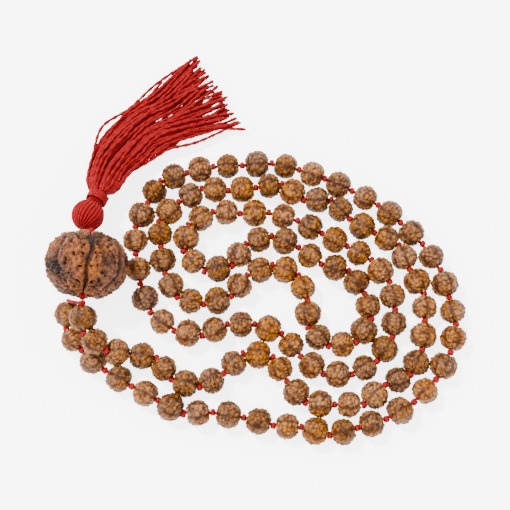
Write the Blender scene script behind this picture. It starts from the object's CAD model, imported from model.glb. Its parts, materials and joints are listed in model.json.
import json
import math
import random

import bmesh
import bpy
import numpy as np
from mathutils import Matrix, Vector, noise


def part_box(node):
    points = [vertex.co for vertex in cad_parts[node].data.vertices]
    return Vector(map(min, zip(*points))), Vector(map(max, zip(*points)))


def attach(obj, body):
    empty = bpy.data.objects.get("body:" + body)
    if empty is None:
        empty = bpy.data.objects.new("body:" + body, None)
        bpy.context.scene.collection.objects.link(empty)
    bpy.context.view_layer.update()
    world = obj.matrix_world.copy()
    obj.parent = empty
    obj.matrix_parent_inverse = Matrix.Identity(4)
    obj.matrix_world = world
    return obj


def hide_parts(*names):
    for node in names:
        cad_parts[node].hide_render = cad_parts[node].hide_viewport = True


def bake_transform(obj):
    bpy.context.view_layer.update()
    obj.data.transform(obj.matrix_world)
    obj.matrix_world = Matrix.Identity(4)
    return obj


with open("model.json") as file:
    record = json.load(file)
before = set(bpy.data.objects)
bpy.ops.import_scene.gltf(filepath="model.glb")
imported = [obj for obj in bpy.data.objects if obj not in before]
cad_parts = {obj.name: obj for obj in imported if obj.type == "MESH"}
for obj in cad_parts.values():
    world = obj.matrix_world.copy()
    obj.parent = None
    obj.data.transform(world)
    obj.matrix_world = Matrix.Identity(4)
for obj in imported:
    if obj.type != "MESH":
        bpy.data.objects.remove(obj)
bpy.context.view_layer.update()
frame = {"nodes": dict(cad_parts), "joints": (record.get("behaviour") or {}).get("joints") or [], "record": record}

bl_info = {
    "name": "Mala prayer beads",
    "version": (1, 0, 0),
    "blender": (4, 5, 0),
    "location": "View3D > Sidebar > Mala",
    "description": "Seed beads on a knotted red cord, with a guru bead and a tassel",
    "category": "Add Mesh",
}

MM = 0.001
JOINTS = {joint["name"]: joint for joint in frame["joints"]}
BODIES = frame["record"]["behaviour"]["bodies"]
LINK_BODIES = ["link_1", "link_2", "link_3", "link_4"]
LOOKED_AT = Vector((-0.19, -4.78, 4.0)) * MM
KEY_FROM = Vector((-0.75, 0.62, 1.45))
BEAD_STEP = 9 * MM  # from one bead's middle to about the next one's

# The bare cord past the first bead bends up, then across to the knot under the guru bead
FIRST_BEND = Vector((-56.69, -19.48, 5.5)) * MM
SECOND_BEND = Vector((-57.39, -20.78, 10.6)) * MM

WRAP_START = 5.3 * MM  # from the middle of the tassel's head
WRAP_LENGTH = 3.1 * MM
WRAP_RADIUS = 3.05 * MM  # to the middle of the winding thread

# The skirt's sections past its top: middle from the top, heading in degrees, width, thickness
SKIRT_SECTIONS = [
    ((-0.6, -0.4, 0.2), 72, 11.0, 8.0),
    ((1.8, 6.6, -1.5), 66, 14.5, 8.6),
    ((6.6, 13.4, -2.3), 53, 16.6, 7.6),
    ((13.4, 19.6, -2.8), 42, 19.0, 6.6),
    ((22.4, 25.4, -3.4), 36, 24.0, 5.6),
    ((35.1, 33.9, -4.2), 33, 36.0, 4.2),
]
SKIRT_LENGTH = 72 * MM
# One thread bows out of the skirt's left side, by this much at each section
STRAY_BOW = [0, 0.2, 1.9, 1.8, 0.4, 0]


# --- reading the frame ----------------------------------------------------------------------
def joint_place(name):
    """A joint's point and axis."""
    joint = JOINTS[name]
    return Vector(joint["pos_m"]), Vector(joint["axis"]).normalized()


def solids_of(node):
    """The vertices of each separate solid of a CAD node, as arrays."""
    mesh = bmesh.new()
    mesh.from_mesh(frame["nodes"][node].data)
    bmesh.ops.remove_doubles(mesh, verts=mesh.verts, dist=0.002 * MM)
    waiting = dict.fromkeys(mesh.verts)
    solids = []
    while waiting:
        found = [waiting.popitem()[0]]
        for vertex in found:
            for edge in vertex.link_edges:
                other = edge.other_vert(vertex)
                if other in waiting:
                    del waiting[other]
                    found.append(other)
        solids.append(np.array([tuple(vertex.co) for vertex in found]))
    mesh.free()
    return solids


def seed_of(points, along=None):
    """A bead's centre, bore axis, radius and half length, from the points of its solid.

    A bead is round about its bore, so an unknown bore lies along the one odd spread of its points.
    """
    low, high = points.min(axis=0), points.max(axis=0)
    centre = (low + high) / 2
    if along is None:
        values, vectors = np.linalg.eigh(np.cov((points - points.mean(axis=0)).T))
        odd = 0 if values[1] - values[0] > values[2] - values[1] else 2
        along = vectors[:, odd]
    reach = (points - centre) @ np.array(along)
    centre = centre + np.array(along) * (reach.max() + reach.min()) / 2
    reach = (points - centre) @ np.array(along)
    across = np.linalg.norm((points - centre) - np.outer(reach, along), axis=1)
    return {
        "centre": Vector(centre),
        "axis": Vector(along),
        "radius": across.max(),
        "half": abs(reach).max(),
    }


def strand():
    """Every small bead in its order along the cord, each with the body and node that it is in."""
    beads = []
    for node in sorted(name for name in frame["nodes"] if name.startswith("bead_")):
        body = next(name for name, nodes in BODIES.items() if node in nodes)
        if node.startswith("bead_run_"):
            left = [seed_of(points) for points in solids_of(node)]
            first = int(node.split("_")[2])
            for seed in left:
                seed.update(node=node, body=body)
            beads.append((first, left))
        else:
            place, axis = joint_place("turn_" + node)
            seed = seed_of(solids_of(node)[0], axis)
            seed.update(node=node, body=body, centre=place)
            beads.append((int(node.split("_")[1]), [seed]))
    ordered = []
    for _, seeds in sorted(beads, key=lambda entry: entry[0]):
        while seeds:
            if ordered:
                last = ordered[-1]
                ahead = last["centre"] + last["axis"] * BEAD_STEP
                seeds.sort(key=lambda seed: (seed["centre"] - ahead).length)
            seed = seeds.pop(0)
            if ordered and seed["axis"].dot(seed["centre"] - ordered[-1]["centre"]) < 0:
                seed["axis"] = -seed["axis"]
            seed["number"] = len(ordered) + 1
            ordered.append(seed)
    return ordered


NEARLY_IN_LINE = 0.004  # squared sine of the angle between two bores


def knot_places(beads):
    """The knot between each two beads: where their bores, carried on, come closest."""
    places = []
    for one, other in zip(beads, beads[1:]):
        gap = other["centre"] - one["centre"]
        a, b = one["axis"], other["axis"]
        cosine = a.dot(b)
        spread = 1 - cosine * cosine
        if spread > NEARLY_IN_LINE:
            forward = (gap.dot(a) - gap.dot(b) * cosine) / spread
            backward = (gap.dot(a) * cosine - gap.dot(b)) / spread
        else:
            forward, backward = gap.length / 2, -gap.length / 2
        places.append((one["centre"] + a * forward + other["centre"] + b * backward) / 2)
    return places


STRAND = strand()
KNOTS = knot_places(STRAND)
COIL_KNOTS = KNOTS[4:103]


# --- shared making --------------------------------------------------------------------------
def add_node(tree, kind, inputs=None, **settings):
    """A node with its settings and inputs, each input a value or another node's output."""
    node = tree.nodes.new(kind)
    for name, value in settings.items():
        setattr(node, name, value)
    for key, value in (inputs or {}).items():
        if isinstance(value, bpy.types.NodeSocket):
            tree.links.new(value, node.inputs[key])
        else:
            node.inputs[key].default_value = value
    return node


def new_material(name, roughness, shine=0.5):
    """A material of this roughness and shine; returns it, its tree and the shader."""
    material = bpy.data.materials.new(name)
    material.use_nodes = True
    principled = material.node_tree.nodes["Principled BSDF"]
    principled.inputs["Roughness"].default_value = roughness
    principled.inputs["Specular IOR Level"].default_value = shine
    return material, material.node_tree, principled


def add_ramp(tree, factor, stops):
    """A colour ramp from (position, colour) pairs."""
    ramp = add_node(tree, "ShaderNodeValToRGB", {"Fac": factor})
    elements = ramp.color_ramp.elements
    while len(elements) < len(stops):
        elements.new(0.5)
    for element, (position, colour) in zip(elements, stops):
        element.position = position
        element.color = (*colour, 1)
    return ramp.outputs["Color"]


def add_noise(tree, place, scale, detail=2.0, rough=0.5):
    """Noise from 0 to 1."""
    inputs = {"Vector": place, "Scale": scale, "Detail": detail, "Roughness": rough}
    return add_node(tree, "ShaderNodeTexNoise", inputs).outputs["Fac"]


def add_range(tree, value, low, high):
    """Spreads a value from 0 to 1 over low to high."""
    return add_node(
        tree, "ShaderNodeMapRange", {"Value": value, "To Min": low, "To Max": high}
    ).outputs["Result"]


def add_bump(tree, shader, height, strength, distance):
    """Fine relief on a shader's surface."""
    inputs = {"Height": height, "Strength": strength, "Distance": distance}
    bump = add_node(tree, "ShaderNodeBump", inputs)
    tree.links.new(bump.outputs["Normal"], shader.inputs["Normal"])


def add_object(name, points, faces, material, smooth=True):
    """A mesh object from points and faces."""
    mesh = bpy.data.meshes.new(name)
    mesh.from_pydata([tuple(point) for point in points], [], faces)
    mesh.materials.append(material)
    mesh.polygons.foreach_set("use_smooth", [smooth] * len(mesh.polygons))
    piece = bpy.data.objects.new(name, mesh)
    bpy.context.scene.collection.objects.link(piece)
    return piece


def store(piece, name, values):
    """Keeps one number for each vertex of a piece."""
    attribute = piece.data.attributes.new(name, "FLOAT", "POINT")
    attribute.data.foreach_set("value", np.asarray(values, np.float32))


def node_tree(name, numbers):
    """An empty Geometry Nodes tree with named numbers for its inputs, and a material."""
    tree = bpy.data.node_groups.new(name, "GeometryNodeTree")
    tree.interface.new_socket("Geometry", in_out="INPUT", socket_type="NodeSocketGeometry")
    for label, kind in numbers.items():
        tree.interface.new_socket(label, in_out="INPUT", socket_type=kind)
    tree.interface.new_socket("Material", in_out="INPUT", socket_type="NodeSocketMaterial")
    tree.interface.new_socket("Geometry", in_out="OUTPUT", socket_type="NodeSocketGeometry")
    return tree, add_node(tree, "NodeGroupInput").outputs


def add_circle(tree, points, radius):
    """A thread's round section."""
    inputs = {"Resolution": points, "Radius": radius}
    return add_node(tree, "GeometryNodeCurvePrimitiveCircle", inputs).outputs["Curve"]


def add_tube(tree, line, section, width=1.0):
    """A closed tube of this section along a line."""
    inputs = {"Curve": line, "Profile Curve": section, "Scale": width, "Fill Caps": True}
    return add_node(tree, "GeometryNodeCurveToMesh", inputs).outputs["Mesh"]


def end_tree(tree, given, geometry):
    """Ends a tree: real geometry with its material."""
    real = add_node(tree, "GeometryNodeRealizeInstances", {"Geometry": geometry})
    painted = add_node(
        tree,
        "GeometryNodeSetMaterial",
        {"Geometry": real.outputs["Geometry"], "Material": given["Material"]},
    )
    add_node(tree, "NodeGroupOutput", {"Geometry": painted.outputs["Geometry"]})
    return tree


def run_tree(name, tree, source, values, material):
    """A plain mesh object: what the tree makes of the source mesh with these values."""
    maker = bpy.data.objects.new(name + "_source", source)
    bpy.context.scene.collection.objects.link(maker)
    modifier = maker.modifiers.new("made", "NODES")
    modifier.node_group = tree
    sockets = {
        item.name: item.identifier
        for item in tree.interface.items_tree
        if item.item_type == "SOCKET" and item.in_out == "INPUT"
    }
    for label, value in {**values, "Material": material}.items():
        modifier[sockets[label]] = value
    bpy.context.view_layer.update()
    graph = bpy.context.evaluated_depsgraph_get()
    mesh = bpy.data.meshes.new_from_object(maker.evaluated_get(graph), depsgraph=graph)
    mesh.name = name
    mesh.polygons.foreach_set("use_smooth", [True] * len(mesh.polygons))
    piece = bpy.data.objects.new(name, mesh)
    bpy.context.scene.collection.objects.link(piece)
    bpy.data.objects.remove(maker)
    return piece


def turned(axis, place):
    """Moves local points, whose Z is the given axis, to a place."""
    return Matrix.Translation(place) @ axis.to_track_quat("Z", "Y").to_matrix().to_4x4()


# --- surface of the seeds -------------------------------------------------------------------
def smooth_step(low, high, value):
    """0 below low, 1 above high, and smooth between."""
    share = min(max((value - low) / (high - low), 0.0), 1.0)
    return share * share * (3 - 2 * share)


noise.seed_set(7)  # noise_vector would start from the clock


def wrinkle(point, knob_size):
    """Height, from 0 to 1, of winding ridges that are about one knob size apart."""
    place = point / knob_size
    bent = place + 0.42 * noise.noise_vector(place * 0.9)
    distances = noise.voronoi(bent)[0]
    crevice = distances[1] - distances[0]
    knob = smooth_step(0.0, 0.42, crevice)
    worm = 1 - min(1.0, abs(noise.noise(bent * 1.15)) * 3.2)
    fine = noise.noise(place * 3.1)
    return min(1.0, max(0.0, 0.62 * knob + 0.34 * worm + 0.16 * fine))


def cleft(longitude, count, wander, width):
    """1 in the middle of a cleft that runs from pole to pole, and 0 away from the clefts."""
    turn = (longitude + wander) * count / math.tau
    away = abs(turn - round(turn)) * math.tau / count
    return math.exp(-((away / width) ** 2))


def bored_profile(rings, radius, half, bore, rim, mouth_depth):
    """(Radius, height, whether outside) of each ring, from rim to rim and back up the bore."""
    shift = (rim * rim + half * half - radius * radius) / (2 * (rim - radius))
    arc = radius - shift
    steepest = math.atan2(half, rim - shift)
    profile = []
    for n in range(rings + 1):
        angle = steepest * (1 - 2 * n / rings)
        profile.append((shift + arc * math.cos(angle), arc * math.sin(angle), True))
    for share in (-1, -0.5, 0, 0.5, 1):
        profile.append((bore, share * (half - mouth_depth), False))
    return profile


def grid_faces(rows, segments, start):
    """Quads of a grid that closes both ways."""
    faces = []
    for row in range(rows):
        below = (row + 1) % rows
        for n in range(segments):
            after = (n + 1) % segments
            faces.append(
                (
                    start + row * segments + n,
                    start + below * segments + n,
                    start + below * segments + after,
                    start + row * segments + after,
                )
            )
    return faces


MOUTH_DEPTH = 0.4
CLEFT_WIDTH = 0.15  # radians
POLAR_SINK = 0.12  # seeds are a little flatter at their poles
LUMPS = 0.16


def seed_mesh(seed, sizes, start):
    """Points, faces, heights and tones of one small bead, in millimetres till it is placed."""
    rng = random.Random(seed["number"])
    offset = Vector([rng.uniform(-60, 60) for _ in range(3)])
    turn = rng.uniform(0, math.tau)
    tone = rng.random()
    knob = sizes.knob * rng.uniform(0.9, 1.15) / MM
    half = seed["half"] / MM
    profile = bored_profile(
        sizes.rings, seed["radius"] / MM, half, sizes.bore / MM, sizes.mouth / MM, MOUTH_DEPTH
    )
    place = turned(seed["axis"], seed["centre"])
    points, heights = [], []
    for across, up, outside in profile:
        for n in range(sizes.segments):
            longitude = math.tau * n / sizes.segments
            local = Vector((across * math.cos(longitude), across * math.sin(longitude), up))
            height = 0.0
            if outside:
                height = wrinkle(local + offset, knob)
                wander = turn + 0.16 * noise.noise(local * 0.5 + offset)
                groove = cleft(longitude, sizes.clefts, wander, CLEFT_WIDTH)
                height *= 1 - 0.85 * groove
                polar = smooth_step(0.72, 1.0, abs(up) / half)
                sink = (sizes.depth * (1 - height) - sizes.rise) / MM + POLAR_SINK * polar
                lump = LUMPS * (noise.noise(local * 0.3 + offset) - 0.4)
                local *= 1 - (sink - min(lump, 0)) / local.length
            points.append(place @ (local * MM))
            heights.append(height)
    faces = grid_faces(len(profile), sizes.segments, start)
    return points, faces, heights, [tone] * len(points)


class SmallBeadSettings(bpy.types.PropertyGroup):
    knob: bpy.props.FloatProperty(
        name="Ridge spacing", description="From ridge to ridge", default=1.25 * MM, unit="LENGTH"
    )
    depth: bpy.props.FloatProperty(
        name="Ridge depth", description="From ridge to crevice", default=0.6 * MM, unit="LENGTH"
    )
    rise: bpy.props.FloatProperty(
        name="Ridge rise", description="Above the plain seed", default=0.52 * MM, unit="LENGTH"
    )
    bore: bpy.props.FloatProperty(
        name="Bore radius", description="Of the cord's bore", default=0.85 * MM, unit="LENGTH"
    )
    mouth: bpy.props.FloatProperty(
        name="Mouth radius", description="Of the worn mouth", default=1.4 * MM, unit="LENGTH"
    )
    clefts: bpy.props.IntProperty(
        name="Clefts", description="Faces of a seed, with a cleft between each two", default=5
    )
    rings: bpy.props.IntProperty(name="Rings", description="From pole to pole", default=36)
    segments: bpy.props.IntProperty(name="Segments", description="Mesh segments round", default=60)
    ridge_colour: bpy.props.FloatVectorProperty(
        name="Ridge", description="On the ridges", subtype="COLOR", default=(0.27, 0.1, 0.014)
    )
    middle_colour: bpy.props.FloatVectorProperty(
        name="Slope", description="Between the two", subtype="COLOR", default=(0.155, 0.05, 0.006)
    )
    crevice_colour: bpy.props.FloatVectorProperty(
        name="Crevice", description="In crevices", subtype="COLOR", default=(0.03, 0.007, 0.0015)
    )


def seed_material(name, ridge, middle, crevice, grain, roughness, tones):
    """A dry, mottled seed coat; its tones are the darkest and the lightest."""
    material, tree, shader = new_material(name, roughness, shine=0.12)
    place = add_node(tree, "ShaderNodeTexCoord").outputs["Object"]
    height = add_node(tree, "ShaderNodeAttribute", attribute_name="height").outputs["Fac"]
    tone = add_node(tree, "ShaderNodeAttribute", attribute_name="tone").outputs["Fac"]
    mottle = add_noise(tree, place, grain, detail=5.0, rough=0.65)
    pores = add_noise(tree, place, grain * 3.4, detail=3.0)
    patches = add_noise(tree, place, 90.0)
    lifted = add_node(
        tree, "ShaderNodeMath", {0: mottle, 1: 0.9, 2: -0.45}, operation="MULTIPLY_ADD"
    ).outputs[0]
    level = add_node(tree, "ShaderNodeMath", {0: height, 1: lifted}, operation="ADD").outputs[0]
    colour = add_ramp(tree, level, [(0.04, crevice), (0.42, middle), (0.92, ridge)])
    value = add_range(tree, tone, *tones)
    richness = add_range(tree, patches, 0.72, 1.2)
    toned = add_node(
        tree, "ShaderNodeHueSaturation", {"Color": colour, "Value": value, "Saturation": richness}
    ).outputs["Color"]
    tree.links.new(toned, shader.inputs["Base Color"])
    add_bump(tree, shader, pores, 0.55, 0.12 * MM)
    return material


class MALA_OT_small_beads(bpy.types.Operator):
    """Carves the small seeds, one piece for each CAD node"""

    bl_idname = "mala.small_beads"
    bl_label = "Small beads"

    def execute(self, context):
        sizes = context.scene.mala_small_beads
        colours = (sizes.ridge_colour, sizes.middle_colour, sizes.crevice_colour)
        material = seed_material(
            "bead_seed", *colours, grain=620.0, roughness=0.5, tones=(0.76, 1.3)
        )
        pieces = {}
        for seed in STRAND:
            parts = pieces.setdefault(seed["node"], ([], [], [], [], seed["body"]))
            for part, made in zip(parts, seed_mesh(seed, sizes, len(parts[0]))):
                part.extend(made)
        for node, (points, faces, heights, tones, body) in pieces.items():
            piece = add_object(node.replace("bead", "seed"), points, faces, material)
            store(piece, "height", heights)
            store(piece, "tone", tones)
            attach(piece, body)
            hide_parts(node)
        return {"FINISHED"}


# --- guru bead ------------------------------------------------------------------------------
class GuruBeadSettings(bpy.types.PropertyGroup):
    depth: bpy.props.FloatProperty(
        name="Relief", description="From ridge to pit", default=1.5 * MM, unit="LENGTH"
    )
    clefts: bpy.props.IntProperty(name="Clefts", description="Seams from pole to pole", default=7)
    rings: bpy.props.IntProperty(name="Rings", description="From pole to pole", default=130)
    segments: bpy.props.IntProperty(name="Segments", description="Round the bead", default=230)
    bore: bpy.props.FloatProperty(
        name="Bore radius", description="Of the cords' bore", default=1.7 * MM, unit="LENGTH"
    )
    mouth: bpy.props.FloatProperty(
        name="Mouth radius", description="Of the worn mouth", default=2.8 * MM, unit="LENGTH"
    )
    mouth_depth: bpy.props.FloatProperty(
        name="Mouth depth", description="Depth of the worn mouth", default=1.8 * MM, unit="LENGTH"
    )
    ridge_colour: bpy.props.FloatVectorProperty(
        name="Ridge", description="On the ridges", subtype="COLOR", default=(0.165, 0.047, 0.009)
    )
    middle_colour: bpy.props.FloatVectorProperty(
        name="Slope", description="Between the two", subtype="COLOR", default=(0.05, 0.013, 0.004)
    )
    pit_colour: bpy.props.FloatVectorProperty(
        name="Pit", description="In the pits", subtype="COLOR", default=(0.008, 0.0022, 0.0012)
    )


def guru_height(local, offset):
    """Height of the big seed's coat: long ridges from pole to pole, knobs and small deep pits."""
    bent = local + 1.3 * noise.noise_vector(local * 0.22 + offset)
    along = Vector((bent.x, bent.y, bent.z * 0.55))
    ridge = 1 - min(1.0, abs(noise.noise(along * 0.42 + offset)) * 2.8)
    knobs = noise.voronoi(bent * 0.62 + offset)[0]
    knob = smooth_step(0.0, 0.3, knobs[1] - knobs[0])
    pit = noise.voronoi(bent * 0.5 + offset * 2)[0][0]
    hole = 1 - smooth_step(0.12, 0.34, pit)
    fine = noise.noise(local * 1.9 + offset)
    return min(1.0, max(0.0, 0.36 * ridge + 0.3 * knob + 0.36 + 0.16 * fine - 0.75 * hole))


class MALA_OT_guru_bead(bpy.types.Operator):
    """Carves the guru bead"""

    bl_idname = "mala.guru_bead"
    bl_label = "Guru bead"

    def execute(self, context):
        sizes = context.scene.mala_guru_bead
        centre, axis = joint_place("guru_turn")
        seed = seed_of(solids_of("guru_bead")[0], axis)
        half = seed["half"] / MM
        opening = (sizes.bore / MM, sizes.mouth / MM, sizes.mouth_depth / MM)
        profile = bored_profile(sizes.rings, seed["radius"] / MM, half, *opening)
        place = turned(axis, centre)
        offset = Vector((3.7, 11.2, 5.1))
        points, heights, shades = [], [], []
        for across, up, outside in profile:
            for n in range(sizes.segments):
                longitude = math.tau * n / sizes.segments
                local = Vector((across * math.cos(longitude), across * math.sin(longitude), up))
                height = 0.0
                if outside:
                    height = guru_height(local, offset)
                    wander = 0.09 * noise.noise(local * 0.16 + offset)
                    groove = cleft(longitude, sizes.clefts, wander, 0.055)
                    swell = cleft(longitude, sizes.clefts, wander + math.pi / sizes.clefts, 0.3)
                    height *= 1 - 0.9 * groove
                    polar = smooth_step(0.8, 1.0, abs(up) / half)
                    sink = sizes.depth / MM * (1 - height) + 0.5 * polar + 0.5 * (1 - swell)
                    local *= 1 - sink / local.length
                points.append(place @ (local * MM))
                heights.append(height)
                shades.append(0.5 + 0.9 * noise.noise(local * 0.16 - offset))
        faces = grid_faces(len(profile), sizes.segments, 0)
        piece = add_object("guru_seed", points, faces, guru_material(sizes))
        store(piece, "height", heights)
        store(piece, "tone", shades)
        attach(piece, "guru")
        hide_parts("guru_bead")
        return {"FINISHED"}


def guru_material(sizes):
    """The big seed's coat: reddish brown, orange on the ridges, near black in patches."""
    colours = (sizes.ridge_colour, sizes.middle_colour, sizes.pit_colour)
    return seed_material("guru_seed", *colours, grain=640.0, roughness=0.42, tones=(0.12, 1.75))


# --- cord -----------------------------------------------------------------------------------
class CordSettings(bpy.types.PropertyGroup):
    thread: bpy.props.FloatProperty(
        name="Cord width", description="Width of the bare cord", default=1.0 * MM, unit="LENGTH"
    )
    pair: bpy.props.FloatProperty(
        name="Pair width", description="Width of both cord ends", default=1.6 * MM, unit="LENGTH"
    )
    knot: bpy.props.FloatProperty(
        name="Knot width", description="Width across a knot", default=2.2 * MM, unit="LENGTH"
    )
    knot_length: bpy.props.FloatProperty(
        name="Knot length", description="Along the cord", default=1.4 * MM, unit="LENGTH"
    )
    turns: bpy.props.FloatProperty(name="Turns", description="Of cord in a knot", default=2.3)
    light_colour: bpy.props.FloatVectorProperty(
        name="Light", description="Raised fibres", subtype="COLOR", default=(0.3, 0.002, 0.004)
    )
    dark_colour: bpy.props.FloatVectorProperty(
        name="Dark", description="Between fibres", subtype="COLOR", default=(0.11, 0.0008, 0.003)
    )


def thread_material(name, light, dark, grain):
    """Dyed cotton, nearly matt."""
    material, tree, shader = new_material(name, 0.8, shine=0.15)
    place = add_node(tree, "ShaderNodeTexCoord").outputs["Object"]
    fibre = add_noise(tree, place, grain, detail=4.0, rough=0.7)
    colour = add_ramp(tree, fibre, [(0.3, dark), (0.62, light)])
    tree.links.new(colour, shader.inputs["Base Color"])
    add_bump(tree, shader, fibre, 0.5, 0.1 * MM)
    return material


def thread_curve(name, points, width, material):
    """A smooth round thread whose line has these control points."""
    curve = bpy.data.curves.new(name, "CURVE")
    curve.dimensions = "3D"
    curve.bevel_depth = width / 2
    curve.bevel_resolution = 2
    curve.use_fill_caps = True
    curve.materials.append(material)
    spline = curve.splines.new("NURBS")
    spline.points.add(len(points) - 1)
    for control, point in zip(spline.points, points):
        control.co = (*point, 1)
    spline.order_u = 3
    spline.use_endpoint_u = True
    spline.resolution_u = 6
    piece = bpy.data.objects.new(name, curve)
    bpy.context.scene.collection.objects.link(piece)
    return piece


def knot_tree():
    """Winds a small knot at each point, along the point's own direction."""
    tree, given = node_tree(
        "knots",
        {
            "Knot radius": "NodeSocketFloat",
            "Knot length": "NodeSocketFloat",
            "Cord radius": "NodeSocketFloat",
            "Turns": "NodeSocketFloat",
        },
    )
    winding = add_node(
        tree,
        "GeometryNodeCurveSpiral",
        {
            "Resolution": 9,
            "Rotations": given["Turns"],
            "Start Radius": given["Knot radius"],
            "End Radius": given["Knot radius"],
            "Height": given["Knot length"],
        },
    ).outputs["Curve"]
    half = add_node(
        tree, "ShaderNodeMath", {0: given["Knot length"], 1: -0.5}, operation="MULTIPLY"
    ).outputs[0]
    down = add_node(tree, "ShaderNodeCombineXYZ", {"Z": half}).outputs[0]
    middle = add_node(tree, "GeometryNodeTransform", {"Geometry": winding, "Translation": down})
    section = add_circle(tree, 7, given["Cord radius"])
    wound = add_tube(tree, middle.outputs["Geometry"], section)
    along = add_node(
        tree, "GeometryNodeInputNamedAttribute", {"Name": "along"}, data_type="FLOAT_VECTOR"
    )
    turn = add_node(
        tree, "FunctionNodeAlignRotationToVector", {"Vector": along.outputs[0]}, axis="Z"
    )
    knots = add_node(
        tree,
        "GeometryNodeInstanceOnPoints",
        {
            "Points": given["Geometry"],
            "Instance": wound,
            "Rotation": turn.outputs["Rotation"],
        },
    )
    return end_tree(tree, given, knots.outputs["Instances"])


def wind_knots(name, places, tree, sizes, material, grow=1.0):
    """Knots at (place, direction) pairs, as one mesh."""
    source = bpy.data.meshes.new(name + "_places")
    source.from_pydata([tuple(place) for place, _ in places], [], [])
    attribute = source.attributes.new("along", "FLOAT_VECTOR", "POINT")
    attribute.data.foreach_set("vector", [part for _, along in places for part in along])
    cord_radius = sizes.thread * 0.56 * grow
    values = {
        "Knot radius": sizes.knot / 2 * grow - cord_radius,
        "Knot length": sizes.knot_length * grow - cord_radius * 1.2,
        "Cord radius": cord_radius,
        "Turns": sizes.turns,
    }
    return run_tree(name, tree, source, values, material)


def chord(one, other):
    """The direction from one point to another."""
    return (other - one).normalized()


class MALA_OT_cord(bpy.types.Operator):
    """Lays the cord through every bead, and ties its knots"""

    bl_idname = "mala.cord"
    bl_label = "Cord and knots"

    def execute(self, context):
        sizes = context.scene.mala_cord
        material = thread_material("red_cord", sizes.light_colour, sizes.dark_colour, 1500.0)
        tree = knot_tree()
        coil = thread_curve("coil_thread", COIL_KNOTS, sizes.thread, material)
        before = COIL_KNOTS[:1] + COIL_KNOTS[:-1]
        after = COIL_KNOTS[1:] + COIL_KNOTS[-1:]
        along = [chord(one, other) for one, other in zip(before, after)]
        coil_knots = wind_knots("coil_knots", list(zip(COIL_KNOTS, along)), tree, sizes, material)
        for piece in (coil, coil_knots):
            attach(piece, "coil")
        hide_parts("cord_coil")
        others = [coil_knots]
        for n, body in enumerate(LINK_BODIES, 1):
            ends = [(KNOTS[5 - n], KNOTS[4 - n]), (KNOTS[101 + n], KNOTS[102 + n])]
            for side, (held, own) in zip(("first", "last"), ends):
                line = [held, (held + own) / 2, own]
                thread = thread_curve(f"{body}_thread_{side}", line, sizes.thread, material)
                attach(thread, body)
                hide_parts(f"cord_{body}")
                others.append(thread)
            places = [(own, chord(held, own)) for held, own in ends]
            tied = wind_knots(f"{body}_knots", places, tree, sizes, material)
            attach(tied, body)
            others.append(tied)
        others += gather_pieces(sizes, material, tree)
        return {"FINISHED"}


def gather_pieces(sizes, material, tree):
    """The two strands' ends, the knot that gathers them, and the cord through the guru bead."""
    last_knot, _ = joint_place("guru_lift")
    centre, axis = joint_place("guru_turn")
    first_knot, second_knot = KNOTS[0], KNOTS[106]
    line = [first_knot, first_knot.lerp(FIRST_BEND, 0.8), FIRST_BEND, SECOND_BEND, last_knot]
    rise = thread_curve("gather_thread_first", line, sizes.thread, material)
    line = [second_knot, (second_knot + last_knot) / 2, last_knot]
    fall = thread_curve("gather_thread_last", line, sizes.thread, material)
    tied = wind_knots("gather_knot", [(last_knot, axis)], tree, sizes, material, grow=1.15)
    for piece in (rise, fall, tied):
        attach(piece, "gather")
    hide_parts("cord_gather")
    low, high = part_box("guru_knot")
    top = (low + high) / 2
    through = [last_knot + axis * 1.3 * MM, centre, top]
    pair = thread_curve("guru_thread", through, sizes.pair, material)
    stop = wind_knots("guru_stop_knot", [(top, axis)], tree, sizes, material, grow=1.25)
    for piece, node in ((pair, "guru_cord"), (stop, "guru_knot")):
        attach(piece, "hub")
        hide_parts(node)
    return [rise, fall, tied]


# --- tassel ---------------------------------------------------------------------------------
class TasselSettings(bpy.types.PropertyGroup):
    threads: bpy.props.IntProperty(name="Threads", description="Threads in the skirt", default=124)
    thread: bpy.props.FloatProperty(
        name="Thread width", description="Of a twisted thread", default=1.2 * MM, unit="LENGTH"
    )
    twist: bpy.props.FloatProperty(
        name="Twist", description="Length of one turn", default=6.0 * MM, unit="LENGTH"
    )
    step: bpy.props.FloatProperty(
        name="Step", description="From one mesh ring to the next", default=0.78 * MM, unit="LENGTH"
    )
    loops: bpy.props.IntProperty(name="Loops", description="Threads over the head", default=26)
    wraps: bpy.props.FloatProperty(name="Wraps", description="Turns of the neck wrap", default=5.5)
    light_colour: bpy.props.FloatVectorProperty(
        name="Light", description="Raised fibres", subtype="COLOR", default=(0.25, 0.0003, 0.002)
    )
    dark_colour: bpy.props.FloatVectorProperty(
        name="Dark", description="Between fibres", subtype="COLOR", default=(0.085, 0.0003, 0.0016)
    )


def tassel_place():
    """The middle of the tassel's head, the top of its skirt, and the way from one to the other."""
    centre, _ = joint_place("tassel_swing")
    top, _ = joint_place("tassel_lift")
    return centre, top, chord(centre, top)


HEAD_ROWS = 64
COLUMNS_PER_LOOP = 7
BALL_SHARE = 0.8  # of the rows; the rest run down the neck
BALL_EDGE = 0.83 * math.pi  # angle from the ball's pole at which the neck leaves it
NECK_END = 8.2  # from the ball's middle
NECK_RADIUS = 2.5
GROOVE_DEPTH = 0.7
HEAD_LEAN = 0.35  # radians that the threads lean from the pole to the neck's end


def head_outline(share, ball):
    """(Radius, height) of the head at a share of its rows from the pole."""
    if share < BALL_SHARE:
        angle = BALL_EDGE * share / BALL_SHARE
        return ball * math.sin(angle), -ball * math.cos(angle)
    down = (share - BALL_SHARE) / (1 - BALL_SHARE)
    across = ball * math.sin(BALL_EDGE) * (1 - down) + NECK_RADIUS * down
    up = -ball * math.cos(BALL_EDGE) * (1 - down) + NECK_END * down
    return across, up


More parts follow.
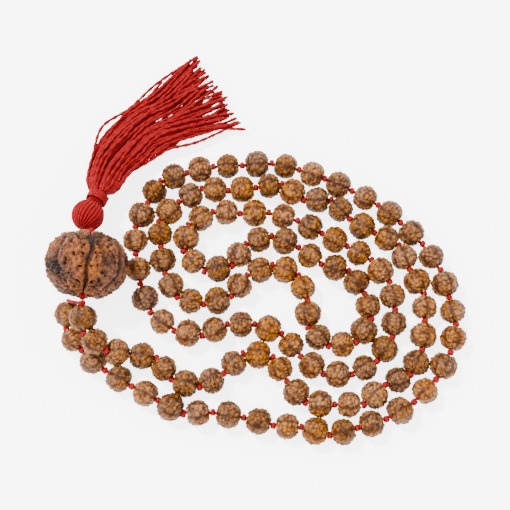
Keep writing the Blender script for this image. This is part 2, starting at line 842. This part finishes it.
def head_point(longitude, share, ball, loops):
    """A point of the threads that lie side by side over the head."""
    across, up = head_outline(share, ball)
    across = max(across, 0.02)
    jitter = 0.05 * noise.noise(Vector((across, up * 0.4, longitude)))
    lean = longitude + HEAD_LEAN * share + jitter
    ridge = abs(math.sin(loops * (longitude + 0.03 * math.sin(3 * longitude)) / 2))
    inward = GROOVE_DEPTH * (1 - ridge) ** 1.3 * min(1.0, across / 2.2)
    around = Vector((3 * math.cos(longitude), 3 * math.sin(longitude), up * 0.3))
    uneven = 0.18 * abs(noise.noise(around))
    reach = max(across - inward - uneven, 0.01)
    return Vector((reach * math.cos(lean), reach * math.sin(lean), up))


class MALA_OT_tassel_head(bpy.types.Operator):
    """Folds the threads over the tassel's head and down its neck"""

    bl_idname = "mala.tassel_head"
    bl_label = "Tassel head"

    def execute(self, context):
        sizes = context.scene.mala_tassel
        centre, _, axis = tassel_place()
        low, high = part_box("tassel_head")
        ball = (high.z - low.z) / 2 / MM
        columns = sizes.loops * COLUMNS_PER_LOOP
        place = turned(axis, centre)
        points = []
        for row in range(HEAD_ROWS + 1):
            for column in range(columns):
                longitude = math.tau * column / columns
                local = head_point(longitude, row / HEAD_ROWS, ball, sizes.loops)
                points.append(place @ (local * MM))
        faces = []
        for row in range(HEAD_ROWS):
            start, above = row * columns, (row + 1) * columns
            for column in range(columns):
                after = (column + 1) % columns
                faces.append((start + column, start + after, above + after, above + column))
        faces.append(tuple(range(columns - 1, -1, -1)))
        faces.append(tuple(HEAD_ROWS * columns + n for n in range(columns)))
        piece = add_object("tassel_head_threads", points, faces, tassel_material(sizes))
        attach(piece, "tassel_top")
        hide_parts("tassel_head")
        return {"FINISHED"}


def tassel_material(sizes):
    """The tassel's own dyed cotton, made once."""
    found = bpy.data.materials.get("tassel_cotton")
    return found or thread_material("tassel_cotton", sizes.light_colour, sizes.dark_colour, 1300.0)


def wrap_tree():
    """Winds a thread round the neck."""
    tree, given = node_tree(
        "neck_wrap",
        {
            "Radius": "NodeSocketFloat",
            "Length": "NodeSocketFloat",
            "Thread radius": "NodeSocketFloat",
            "Turns": "NodeSocketFloat",
        },
    )
    winding = add_node(
        tree,
        "GeometryNodeCurveSpiral",
        {
            "Resolution": 40,
            "Rotations": given["Turns"],
            "Start Radius": given["Radius"],
            "End Radius": given["Radius"],
            "Height": given["Length"],
        },
    )
    section = add_circle(tree, 10, given["Thread radius"])
    wound = add_tube(tree, winding.outputs["Curve"], section)
    return end_tree(tree, given, wound)


class MALA_OT_tassel_wrap(bpy.types.Operator):
    """Winds the wrap round the tassel's neck"""

    bl_idname = "mala.tassel_wrap"
    bl_label = "Neck wrap"

    def execute(self, context):
        sizes = context.scene.mala_tassel
        centre, _, axis = tassel_place()
        thread = WRAP_LENGTH / sizes.wraps / 1.85  # a radius, so that the turns press together
        source = bpy.data.meshes.new("neck_wrap_start")
        values = {
            "Radius": WRAP_RADIUS,
            "Length": WRAP_LENGTH - 1.2 * thread,
            "Thread radius": thread,
            "Turns": sizes.wraps,
        }
        piece = run_tree("neck_wrap", wrap_tree(), source, values, tassel_material(sizes))
        piece.data.transform(turned(axis, centre + axis * (WRAP_START + 0.6 * thread)))
        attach(piece, "tassel_top")
        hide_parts("tassel_wrap")
        return {"FINISHED"}


def left_of(heading):
    """The level direction to the left of a heading in degrees."""
    angle = math.radians(heading)
    return Vector((-math.sin(angle), math.cos(angle), 0))


def blended(points, share):
    """A point of the smooth line through the points, at a share of their run."""
    place = share * (len(points) - 1)
    n = min(int(place), len(points) - 2)
    t = place - n
    before = points[max(n - 1, 0)]
    start, end = points[n], points[n + 1]
    after = points[min(n + 2, len(points) - 1)]
    return 0.5 * (
        2 * start
        + (end - before) * t
        + (2 * before - 5 * start + 4 * end - after) * t * t
        + (3 * start - before - 3 * end + after) * t * t * t
    )


GOLDEN_TURN = math.pi * (3 - math.sqrt(5))  # spreads the threads evenly over a section
SHORTEST = 0.13  # share of its length that a thread may lack
WAVE = 0.55 * MM


def thread_way(top, neck, across, above, bows, rng):
    """The points that one thread passes, from inside the wrap through every section."""
    inside = Vector((across, 0, above))
    way = [top - neck * 5.4 * MM + inside * 2.0 * MM, top - neck * 3.6 * MM + inside * 2.7 * MM]
    sections = zip(SKIRT_SECTIONS, bows)
    for n, ((middle, heading, width, thickness), bow) in enumerate(sections, 1):
        loose = 0.035 * n
        a = min(max(across * 0.93 + rng.uniform(-loose, loose), -1), 1)
        b = above * 0.8 + rng.uniform(-loose, loose)
        sideways = left_of(heading) * (bow - a * width / 2)
        way.append(top + (Vector(middle) + sideways + Vector((0, 0, b * thickness / 2))) * MM)
    return way


def thread_line(sizes, way, rng):
    """One thread's line: its way, smooth and a little wavy towards its loose end."""
    length = 1 - SHORTEST * rng.random() ** 1.5
    count = int(SKIRT_LENGTH * length / sizes.step)
    phase = [rng.uniform(0, math.tau) for _ in range(4)]
    points = []
    for n in range(count + 1):
        share = n / count
        point = blended(way, share * length)
        wave = WAVE * smooth_step(0.2, 0.8, share)
        point.x += wave * math.sin(9 * share + phase[0])
        point.y += wave * math.sin(8 * share + phase[1])
        point.z += 0.4 * wave * math.sin(11 * share + phase[2])
        point.z = max(point.z, 0.55 * sizes.thread)
        points.append(point)
    return points


def skirt_lines(sizes, top, neck):
    """The line of each thread of the skirt, in two bundles with a valley between them."""
    rng = random.Random(11)
    lines = []
    for number in range(sizes.threads):
        reach = math.sqrt((number + 0.5) / sizes.threads)
        angle = number * GOLDEN_TURN
        across, above = reach * math.cos(angle), reach * math.sin(angle)
        bows = [0] * len(SKIRT_SECTIONS)
        if number == sizes.threads - 1:
            across, above, bows = -1.0, 0.3, STRAY_BOW
        valley = -0.08 + 0.05 * rng.uniform(-1, 1)
        across += 0.1 * (1 if across > valley else -1) * (1 - abs(across))
        way = thread_way(top, neck, across, above, bows, rng)
        lines.append(thread_line(sizes, way, rng))
    return lines


def thread_tree():
    """Twists a two-ply thread along each line."""
    tree, given = node_tree(
        "twisted_threads", {"Thread radius": "NodeSocketFloat", "Twist": "NodeSocketFloat"}
    )
    lines = add_node(tree, "GeometryNodeMeshToCurve", {"Mesh": given["Geometry"]})
    along = add_node(tree, "GeometryNodeSplineParameter").outputs["Length"]
    turns = add_node(tree, "ShaderNodeMath", {0: along, 1: given["Twist"]}, operation="DIVIDE")
    tilt = add_node(
        tree, "ShaderNodeMath", {0: turns.outputs[0], 1: math.tau}, operation="MULTIPLY"
    ).outputs[0]
    tilted = add_node(
        tree, "GeometryNodeSetCurveTilt", {"Curve": lines.outputs["Curve"], "Tilt": tilt}
    )
    place = add_node(tree, "GeometryNodeInputPosition").outputs[0]
    flat = add_node(
        tree, "ShaderNodeVectorMath", {0: place, 1: (1.0, 0.7, 1.0)}, operation="MULTIPLY"
    ).outputs[0]
    ply = {"Geometry": add_circle(tree, 8, given["Thread radius"]), "Position": flat}
    two_ply = add_node(tree, "GeometryNodeSetPosition", ply).outputs["Geometry"]
    width = add_node(tree, "GeometryNodeInputNamedAttribute", {"Name": "width"}, data_type="FLOAT")
    made = add_tube(tree, tilted.outputs["Curve"], two_ply, width.outputs[0])
    return end_tree(tree, given, made)


class MALA_OT_tassel_skirt(bpy.types.Operator):
    """Lays the tassel's loose threads"""

    bl_idname = "mala.tassel_skirt"
    bl_label = "Tassel skirt"

    def execute(self, context):
        sizes = context.scene.mala_tassel
        _, top, neck = tassel_place()
        points, edges, widths = [], [], []
        for line in skirt_lines(sizes, top, neck):
            start, count = len(points), len(line)
            points += line
            edges += [(start + n, start + n + 1) for n in range(count - 1)]
            widths += [0.45 + 0.55 * smooth_step(0.02, 0.24, n / count) for n in range(count)]
        source = bpy.data.meshes.new("skirt_lines")
        source.from_pydata([tuple(point) for point in points], edges, [])
        attribute = source.attributes.new("width", "FLOAT", "POINT")
        attribute.data.foreach_set("value", widths)
        values = {"Thread radius": sizes.thread / 2, "Twist": sizes.twist}
        piece = run_tree("skirt_threads", thread_tree(), source, values, tassel_material(sizes))
        start, end = tuple(top - neck * 2 * MM), tuple(top + neck * 4 * MM)
        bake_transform(piece)
        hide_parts("tassel_skirt")
        return {"FINISHED"}


# --- stage ----------------------------------------------------------------------------------
class StageSettings(bpy.types.PropertyGroup):
    floor_colour: bpy.props.FloatVectorProperty(
        name="Floor", description="Colour of the floor", subtype="COLOR", default=(1.0, 1.0, 1.0)
    )
    floor_glow: bpy.props.FloatProperty(
        name="Floor glow", description="The white floor's own light", default=4.0
    )
    key: bpy.props.FloatProperty(name="Key light", description="From the upper left", default=6.0)
    fill: bpy.props.FloatProperty(name="Fill light", description="From all round", default=2.3)
    lens: bpy.props.FloatProperty(name="Lens", description="In millimetres", default=84.7)
    distance: bpy.props.FloatProperty(
        name="Distance", description="From the camera to the mala", default=0.372, unit="LENGTH"
    )
    elevation: bpy.props.FloatProperty(
        name="Elevation",
        description="The camera's angle above the floor",
        default=math.radians(75),
        subtype="ANGLE",
    )


class MALA_OT_stage(bpy.types.Operator):
    """Sets the floor, the lights and the camera"""

    bl_idname = "mala.stage"
    bl_label = "Stage"

    def execute(self, context):
        sizes = context.scene.mala_stage
        material, _, shader = new_material("floor", 0.9)
        shader.inputs["Base Color"].default_value = (*sizes.floor_colour, 1)
        shader.inputs["Emission Color"].default_value = (1, 1, 1, 1)
        shader.inputs["Emission Strength"].default_value = sizes.floor_glow
        side = 1.5
        corners = [(-side, -side, 0), (side, -side, 0), (side, side, 0), (-side, side, 0)]
        floor = add_object("floor", corners, [(0, 1, 2, 3)], material, smooth=False)
        camera = bpy.data.objects.new("camera", bpy.data.cameras.new("camera"))
        camera.data.lens = sizes.lens
        camera.data.clip_start = 0.01
        away = Vector((0, -math.cos(sizes.elevation), math.sin(sizes.elevation)))
        camera.location = LOOKED_AT + away * sizes.distance
        camera.rotation_euler = away.to_track_quat("Z", "Y").to_euler()
        context.scene.collection.objects.link(camera)
        context.scene.camera = camera
        key = bpy.data.objects.new("key", bpy.data.lights.new("key", "SUN"))
        key.data.energy = sizes.key
        key.data.angle = math.radians(6)
        key.rotation_euler = KEY_FROM.to_track_quat("Z", "Y").to_euler()
        context.scene.collection.objects.link(key)
        world = bpy.data.worlds.new("studio")
        world.use_nodes = True
        world.node_tree.nodes["Background"].inputs["Color"].default_value = (1, 1, 1, 1)
        world.node_tree.nodes["Background"].inputs["Strength"].default_value = sizes.fill
        context.scene.world = world
        return {"FINISHED"}


# --- panel and running ----------------------------------------------------------------------
OPERATORS = (
    MALA_OT_stage,
    MALA_OT_cord,
    MALA_OT_small_beads,
    MALA_OT_guru_bead,
    MALA_OT_tassel_head,
    MALA_OT_tassel_wrap,
    MALA_OT_tassel_skirt,
)
SETTINGS = {
    "mala_cord": CordSettings,
    "mala_small_beads": SmallBeadSettings,
    "mala_guru_bead": GuruBeadSettings,
    "mala_tassel": TasselSettings,
    "mala_stage": StageSettings,
}


class MALA_PT_panel(bpy.types.Panel):
    """Lists the mala's makers and their settings"""

    bl_label = "Mala"
    bl_idname = "MALA_PT_panel"
    bl_space_type = "VIEW_3D"
    bl_region_type = "UI"
    bl_category = "Mala"

    def draw(self, context):
        for name, group in SETTINGS.items():
            box = self.layout.box()
            for setting in group.__annotations__:
                box.prop(getattr(context.scene, name), setting)
        for operator in OPERATORS:
            self.layout.operator(operator.bl_idname)


def register():
    for name, group in SETTINGS.items():
        bpy.utils.register_class(group)
        setattr(bpy.types.Scene, name, bpy.props.PointerProperty(type=group))
    for shown in (*OPERATORS, MALA_PT_panel):
        bpy.utils.register_class(shown)


def unregister():
    for shown in reversed((*OPERATORS, MALA_PT_panel)):
        bpy.utils.unregister_class(shown)
    for name, group in reversed(SETTINGS.items()):
        delattr(bpy.types.Scene, name)
        bpy.utils.unregister_class(group)


def main():
    register()
    for operator in OPERATORS:
        group, name = operator.bl_idname.split(".")
        getattr(getattr(bpy.ops, group), name)()


if __name__ == "__main__":
    main()
